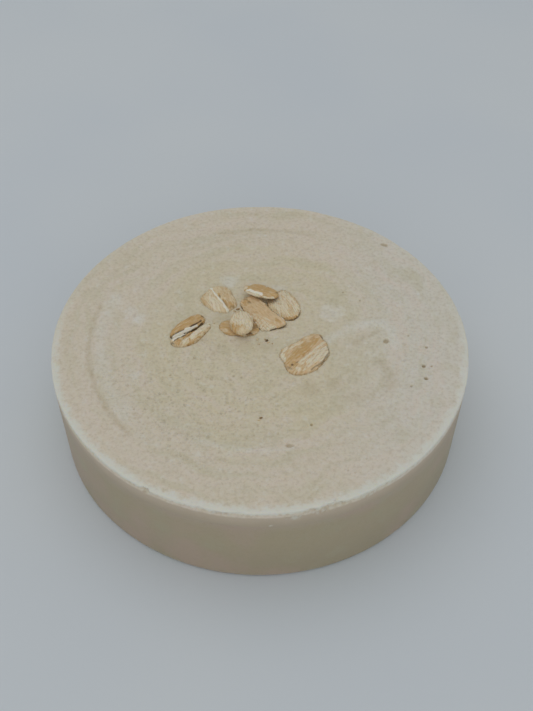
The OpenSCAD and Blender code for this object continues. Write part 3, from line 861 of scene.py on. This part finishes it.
def crustFinish():
    material, start, shader = newFinish("pouredSoap", {
        "Roughness": 0.6, "Specular IOR Level": 0.4, "Subsurface Weight": 0.2,
        "Subsurface Radius": (1.0, 0.8, 0.5), "Subsurface Scale": 0.0012, "IOR": 1.45})
    look = crustLook
    place = placeInMillimetres(start)
    pour = attribute(start, "pour")
    flat = place.vector("MULTIPLY", {1: (1, 1, 0)})
    reach = flat.vector("LENGTH", {}, 1)
    drift = flat.grain(0.09, 3.0, 0.5)
    rings = reach * 0.42 + drift * 4.0
    around = flat.vector("NORMALIZE", {}).vector("SCALE", {"Scale": 1.3})
    ringPlace = around.vector("ADD", {1: start.node("ShaderNodeCombineXYZ", {}, {2: rings})})
    ring = ringPlace.grain(1.0, 4.0, 0.6)
    mottle = flat.grain(0.16, 5.0, 0.6)
    blots = flat.grain(0.55, 4.0, 0.6)
    dust = place.grain(1.5, 3.0, 0.6)

    inside = 1 - (reach + (drift - 0.5) * 26).ease(17, 29)
    colour = inside.blend(look["outer"], look["centre"])
    colour = (flat.split("X").ease(8, 30) * 0.7).blend(colour, look["right"])
    colour = (ring.ease(0.48, 0.7) * 0.5).blend(colour, look["pink"])
    colour = ((1 - ring.ease(0.32, 0.52)) * 0.4).blend(colour, look["olive"])
    colour = (mottle.ease(0.5, 0.72) * 0.35).blend(colour, look["olive"])
    colour = ((1 - mottle.ease(0.3, 0.48)) * 0.4).blend(colour, look["pink"])
    colour = (blots.ease(0.56, 0.72) * 0.35).blend(colour, look["pale"])
    colour = (pour.channel("R") * 0.75).blend(colour, look["streak"])
    colour = (pour.channel("G") * 0.8).blend(colour, look["pale"])

    thick = flat.near((-9, -13, 0), 6, 24) * 0.6 + 0.4
    thick = thick * (1 - reach.ease(30, 36) * 0.6)
    wide = place.cells(0.95, 0)
    narrow = place.cells(2.1, 0)
    kept = place.cells(0.95, 1).channel("R")
    keptNarrow = place.cells(2.1, 1).channel("G")
    holes = (1 - wide.ease(0.12, 0.4)) * kept.ease(0.5, 0.62) * thick
    dots = (1 - narrow.ease(0.2, 0.5)) * keptNarrow.ease(0.45, 0.6) * thick
    colour = (holes * 0.2 + dots * 0.15).blend(colour, look["speck"])
    colour = ((1 - dust.ease(0.34, 0.52)) * 0.17).blend(colour, look["speck"])
    colour = (dust.ease(0.52, 0.68) * 0.17).blend(colour, look["pale"])
    colour = ((1 - blots.ease(0.3, 0.48)) * 0.18).blend(colour, look["streak"])

    height = place.split("Z")
    # the crust's side wall is darker than its top: partly painted shade standing in for the shaded side
    wallOnly = 1 - (height + blots * 0.5).ease(faceHeight - 1.5, faceHeight - 0.9)
    colour = wallOnly.blend(colour, look["wall"])
    lower = (1 - (height + (mottle - 0.5) * 2.0).ease(seamHeight, seamHeight + 2.6)) * 0.85
    colour = lower.blend(colour, bodyLook["upper"])
    colour = (pour.channel("G") * wallOnly * 0.8).blend(colour, look["rim"])
    # paler band round the rim: partly the pale ash, partly a painted highlight where the rounded edge catches
    # the light; strongest at the front
    rim = (reach + (blots - 0.5) * 2.6 + (dust - 0.5) * 1.0).ease(puckRadius - 2.0, puckRadius - 0.5)
    rim = rim * (height + (dust - 0.5) * 0.9).ease(faceHeight - 0.9, faceHeight - 0.4)
    rim = rim * (1 - flat.split("Y").ease(-10, 14) * 0.8)
    colour = (rim * 0.8).blend(colour, look["rim"])
    # painted shade: pits, flake beds and the patches by the flakes darkened
    colour = (pour.channel("B") * 0.8).blend(colour, look["shadeAndDarkPatches"])
    plug(colour, shader, "Base Color")
    plug(0.55 + dust * 0.2, shader, "Roughness")
    bumpFrom(dust * 0.35 + blots * 0.3 - holes * 0.7 - dots * 0.4, look["bump"], shader)
    return material


# the body's colours are darkened partly as painted shade for the shaded side wall, partly for the gelled
# soap's darker tone
bodyLook = {
    "upper": screen(188, 173, 150),
    "middle": screen(182, 169, 141),
    "lower": screen(176, 164, 138),
    "cloud": screen(182, 175, 148),
    "pink": screen(192, 169, 153),
    "fleck": screen(160, 146, 114),
    "dust": screen(210, 200, 176),
    "bump": 0.00007,  # metres
    "edgeRound": 0.8,
    "around": 640,  # steps round the wall
    "wallCuts": 44,
    "baseCuts": 24,
}


def bodyFinish():
    material, start, shader = newFinish("mouldedSoap", {
        "Roughness": 0.45, "Specular IOR Level": 0.4, "Subsurface Weight": 0.3,
        "Subsurface Radius": (1.0, 0.8, 0.45), "Subsurface Scale": 0.002, "IOR": 1.45})
    place = placeInMillimetres(start)
    height = place.split("Z")
    cloud = place.grain(0.14, 4.0, 0.55)
    fine = place.grain(1.4, 4.0, 0.6)
    dust = place.grain(4.5, 2.0, 0.5)
    colour = (height + (cloud - 0.5) * 5).ease(2, 12).blend(bodyLook["lower"], bodyLook["middle"])
    upper = (height + (cloud - 0.5) * 2.0).ease(seamHeight - 2.2, seamHeight)
    colour = upper.blend(colour, bodyLook["upper"])
    colour = (cloud.ease(0.5, 0.7) * 0.5).blend(colour, bodyLook["cloud"])
    colour = ((1 - place.grain(0.07, 3.0, 0.5).ease(0.36, 0.56)) * 0.6).blend(colour, bodyLook["pink"])
    colour = ((1 - fine.ease(0.35, 0.5)) * 0.14).blend(colour, bodyLook["fleck"])
    colour = (dust.ease(0.6, 0.72) * 0.12).blend(colour, bodyLook["dust"])
    plug(colour, shader, "Base Color")
    plug(0.4 + fine * 0.2, shader, "Roughness")
    bumpFrom(fine * 0.6 + dust * 0.25, bodyLook["bump"], shader)
    return material


def makeBody():  # one profile spun round: base, moulded edge, wall, and the flat under the crust
    bm = bmesh.new()
    wall = puckRadius - crust["wallInset"]
    edge = bodyLook["edgeRound"]
    moulded = [(wall - edge + edge * math.sin(math.radians(a)), edge * (1 - math.cos(math.radians(a))))
               for a in (0, 15, 30, 45, 60, 75, 90)]
    corners = [(0, 0), *moulded, (wall, seamHeight), (0, seamHeight)]
    verts = [bm.verts.new((reach, 0, height)) for reach, height in corners]
    edges = [bm.edges.new(pair) for pair in zip(verts, verts[1:])]
    bmesh.ops.subdivide_edges(bm, edges=[edges[-2]], cuts=bodyLook["wallCuts"])
    bmesh.ops.subdivide_edges(bm, edges=[edges[0]], cuts=bodyLook["baseCuts"])
    bmesh.ops.spin(bm, geom=bm.verts[:] + bm.edges[:], cent=(0, 0, 0), axis=(0, 0, 1), angle=2 * math.pi,
                   steps=bodyLook["around"], use_merge=True)
    bmesh.ops.remove_doubles(bm, verts=bm.verts, dist=0.002)
    for corner in bm.edges:
        corner.smooth = corner.calc_face_angle(0) < math.radians(60)
    for vert in bm.verts:
        x, y, z = vert.co
        reach, angle = math.hypot(x, y), math.atan2(y, x)
        if reach > wall - 1.5:
            shift = wallWander(angle, z) - 0.05 * easeBetween(1.2, 0, z) * (1 + rough(x, y, 3, 0.8))
            vert.co.x += shift * x / reach
            vert.co.y += shift * y / reach
        elif z < 0.01 and reach > 0.5:
            vert.co.z += 0.05 * (0.6 + 0.4 * rough(x, y, 2, 3.5)) * easeBetween(wall - 1.5, wall - 6, reach)
    bmesh.ops.recalc_face_normals(bm, faces=bm.faces)
    return finishPiece("mouldedBody", bm, bodyFinish(), "soap", "soap_body")


makeCrust()
print("crust made")
makeBody()
print("soap body made")


studio = {
    "floor": screen(226, 231, 233),
    "floorDrift": screen(222, 228, 232),
    "floorReach": 3.0,
    "sky": (0.90, 0.94, 0.985),
    "skyStrength": 0.435,
    "lamp": (-0.1, 0.09, 0.64),
    "lampSize": 0.8,
    "lampPower": 0.7,
    "fill": (0.02, -0.62, 0.3),
    "fillSize": 0.6,
    "fillPower": 0.5,
    "lampColour": (1.0, 0.985, 0.96),
    "lens": 45.75,
    "camera": (0.00116, -0.11405, 0.14025),
    "lookDown": 47.75,  # degrees below level
    "roll": 0.37,  # degrees
}


def makeFloor():
    bm = bmesh.new()
    bmesh.ops.create_circle(bm, segments=96, radius=studio["floorReach"], cap_ends=True)
    mesh = bpy.data.meshes.new("floor")
    bm.to_mesh(mesh)
    bm.free()
    material, start, shader = newFinish("paleFloor", {"Roughness": 0.75, "Specular IOR Level": 0.2})
    place = placeInMillimetres(start)
    colour = place.grain(0.012, 2.0, 0.5).ease(0.35, 0.65).blend(studio["floor"], studio["floorDrift"])
    plug(colour, shader, "Base Color")
    mesh.materials.append(material)
    floor = bpy.data.objects.new("floor", mesh)
    bpy.context.scene.collection.objects.link(floor)


def aimAt(piece, target):
    piece.rotation_euler = (Vector(target) - piece.location).to_track_quat("-Z", "Y").to_euler()


def makeLight():
    world = bpy.data.worlds.new("softRoom")
    world.use_nodes = True
    world.node_tree.nodes["Background"].inputs["Color"].default_value = (*studio["sky"], 1)
    world.node_tree.nodes["Background"].inputs["Strength"].default_value = studio["skyStrength"]
    bpy.context.scene.world = world
    for name in ("lamp", "fill"):
        lamp = bpy.data.lights.new(name, "AREA")
        lamp.shape = "DISK"
        lamp.size = studio[name + "Size"]
        lamp.energy = studio[name + "Power"]
        lamp.color = studio["lampColour"]
        softbox = bpy.data.objects.new(name, lamp)
        softbox.location = studio[name]
        aimAt(softbox, (0, 0, 0))
        bpy.context.scene.collection.objects.link(softbox)


def makeCamera():
    lens = bpy.data.cameras.new("camera")
    lens.lens = studio["lens"]
    lens.sensor_width = 36
    lens.clip_start = 0.01
    camera = bpy.data.objects.new("camera", lens)
    camera.matrix_world = (Matrix.Translation(studio["camera"])
                           @ Matrix.Rotation(math.radians(90 - studio["lookDown"]), 4, "X")
                           @ Matrix.Rotation(math.radians(studio["roll"]), 4, "Z"))
    bpy.context.scene.collection.objects.link(camera)
    bpy.context.scene.camera = camera


makeFloor()
makeLight()
makeCamera()
bpy.context.scene.view_settings.view_transform = "Standard"
print("studio made")

bpy.context.view_layer.update()
